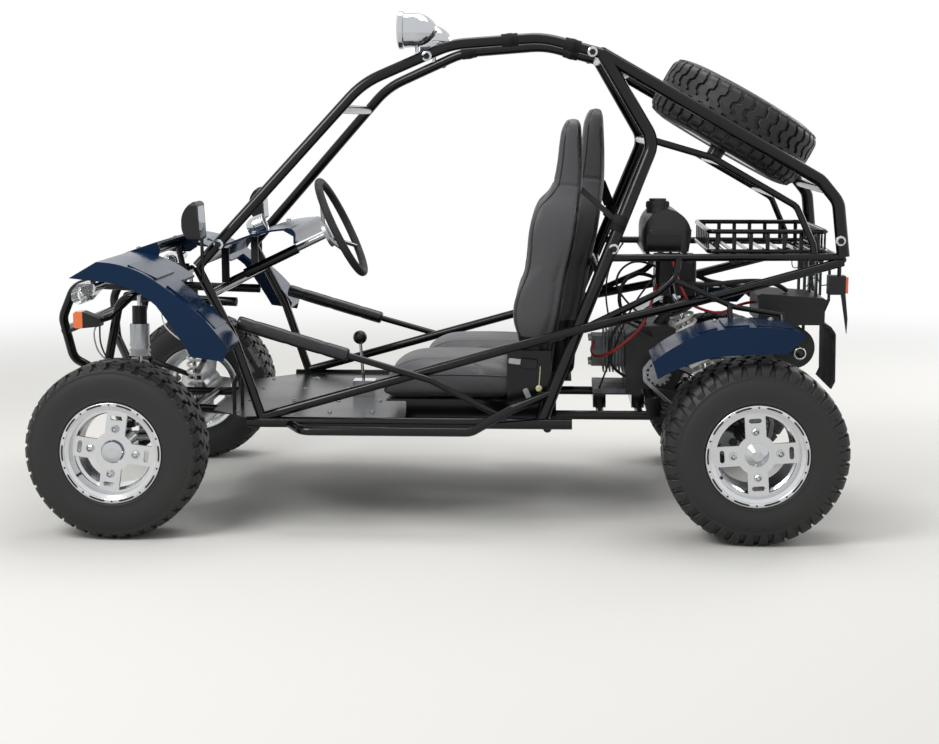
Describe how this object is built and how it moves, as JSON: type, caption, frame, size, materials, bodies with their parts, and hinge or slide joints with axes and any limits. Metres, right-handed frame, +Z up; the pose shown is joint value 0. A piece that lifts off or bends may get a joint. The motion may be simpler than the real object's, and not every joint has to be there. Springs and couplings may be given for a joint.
{
  "type": "off-road buggy",
  "caption": "Two-seat off-road buggy with a tubular roll cage, knobbly tyres on alloy wheels, a spare wheel on a sloping rack and a cargo basket.",
  "frame": {"origin": "on the ground below the middle of the vehicle", "axes": "+X forward, +Y to the driver's side, +Z up"},
  "size_m": [2.3819, 1.386, 1.508],
  "materials": {
    "frame_black": "gloss black powder coat",
    "pad_foam": "satin foam cover",
    "panel_dark": "gloss",
    "panel_navy": "gloss deep navy",
    "flap_rubber": "matt",
    "lamp_clear": "clear",
    "lamp_orange": "clear orange",
    "chrome": "polished",
    "plastic_black": "satin",
    "seat_vinyl": "satin charcoal vinyl",
    "shock_silver": "satin silver paint",
    "engine_alloy": "cast",
    "muffler_grey": "satin heat paint",
    "zinc_steel": "zinc plated",
    "rim_alloy": "polished",
    "tyre": "matt",
    "cast_grey": "as cast",
    "wheel_grip": "satin"
  },
  "bodies": {
    "chassis": {"lower_frame": "frame_black", "front_frame": "frame_black", "front_hoop": "frame_black", "roof_hoops": "frame_black", "rear_hoop": "frame_black", "rear_rack": "frame_black", "side_bars": "frame_black", "rear_frame": "frame_black", "entry_bars": "frame_black", "entry_pads": "pad_foam", "sill_bars": "frame_black", "spare_carrier": "frame_black", "bumper": "frame_black", "floor_pan": "panel_dark", "dash_cowl": "panel_dark", "nose_panel": "panel_navy", "front_fenders": "panel_navy", "rear_fenders": "panel_navy", "rear_flap": "flap_rubber", "headlamps": "lamp_clear", "indicators": "lamp_orange", "roof_lamps": "chrome", "mirrors": "plastic_black", "seat_back_left": "seat_vinyl", "seat_back_right": "seat_vinyl", "seat_cushion_left": "seat_vinyl", "seat_cushion_right": "seat_vinyl", "seat_bases": "frame_black", "front_arms": "frame_black", "shock_absorbers": "shock_silver", "steering_rack": "frame_black", "swing_arm": "frame_black", "engine": "engine_alloy", "fuel_tank": "plastic_black", "muffler": "muffler_grey", "chain": "zinc_steel", "battery_box": "plastic_black", "cargo_basket": "frame_black", "steering_column": "zinc_steel", "pedals": "frame_black", "gear_lever": "zinc_steel", "spare_rim": "rim_alloy", "spare_tyre": "tyre"},
    "knuckle_left_body": {"knuckle_left": "cast_grey"},
    "knuckle_right_body": {"knuckle_right": "cast_grey"},
    "front_wheel_left": {"front_rim_left": "rim_alloy", "front_tyre_left": "tyre"},
    "front_wheel_right": {"front_rim_right": "rim_alloy", "front_tyre_right": "tyre"},
    "rear_wheels": {"rear_axle": "zinc_steel", "rear_rims": "rim_alloy", "rear_tyres": "tyre"},
    "steering_wheel_body": {"steering_wheel": "wheel_grip"}
  },
  "joints": [
    {"name": "steer_left", "type": "hinge", "parent": "chassis", "child": "knuckle_left_body", "pos_m": [0.921, 0.468, 0.256], "axis": [0, 0, 1], "range_deg": [-25, 25]},
    {"name": "steer_right", "type": "hinge", "parent": "chassis", "child": "knuckle_right_body", "pos_m": [0.921, -0.468, 0.256], "axis": [0, 0, 1], "range_deg": [-25, 25]},
    {"name": "steering_wheel_turn", "type": "hinge", "parent": "chassis", "child": "steering_wheel_body", "pos_m": [0.313, 0.208, 0.87], "axis": [-0.9018, 0, 0.4321], "range_deg": [-100, 100]},
    {"name": "front_wheel_left_spin", "type": "hinge", "parent": "knuckle_left_body", "child": "front_wheel_left", "pos_m": [0.921, 0.598, 0.256], "axis": [0, 1, 0], "continuous": true},
    {"name": "front_wheel_right_spin", "type": "hinge", "parent": "knuckle_right_body", "child": "front_wheel_right", "pos_m": [0.921, -0.598, 0.256], "axis": [0, 1, 0], "continuous": true},
    {"name": "rear_wheels_spin", "type": "hinge", "parent": "chassis", "child": "rear_wheels", "pos_m": [-0.909, 0, 0.262], "axis": [0, 1, 0], "continuous": true}
  ],
  "couplings": [
    {"joint": "steer_right", "follows": "steer_left", "ratio": 1},
    {"joint": "steering_wheel_turn", "follows": "steer_left", "ratio": 4}
  ]
}
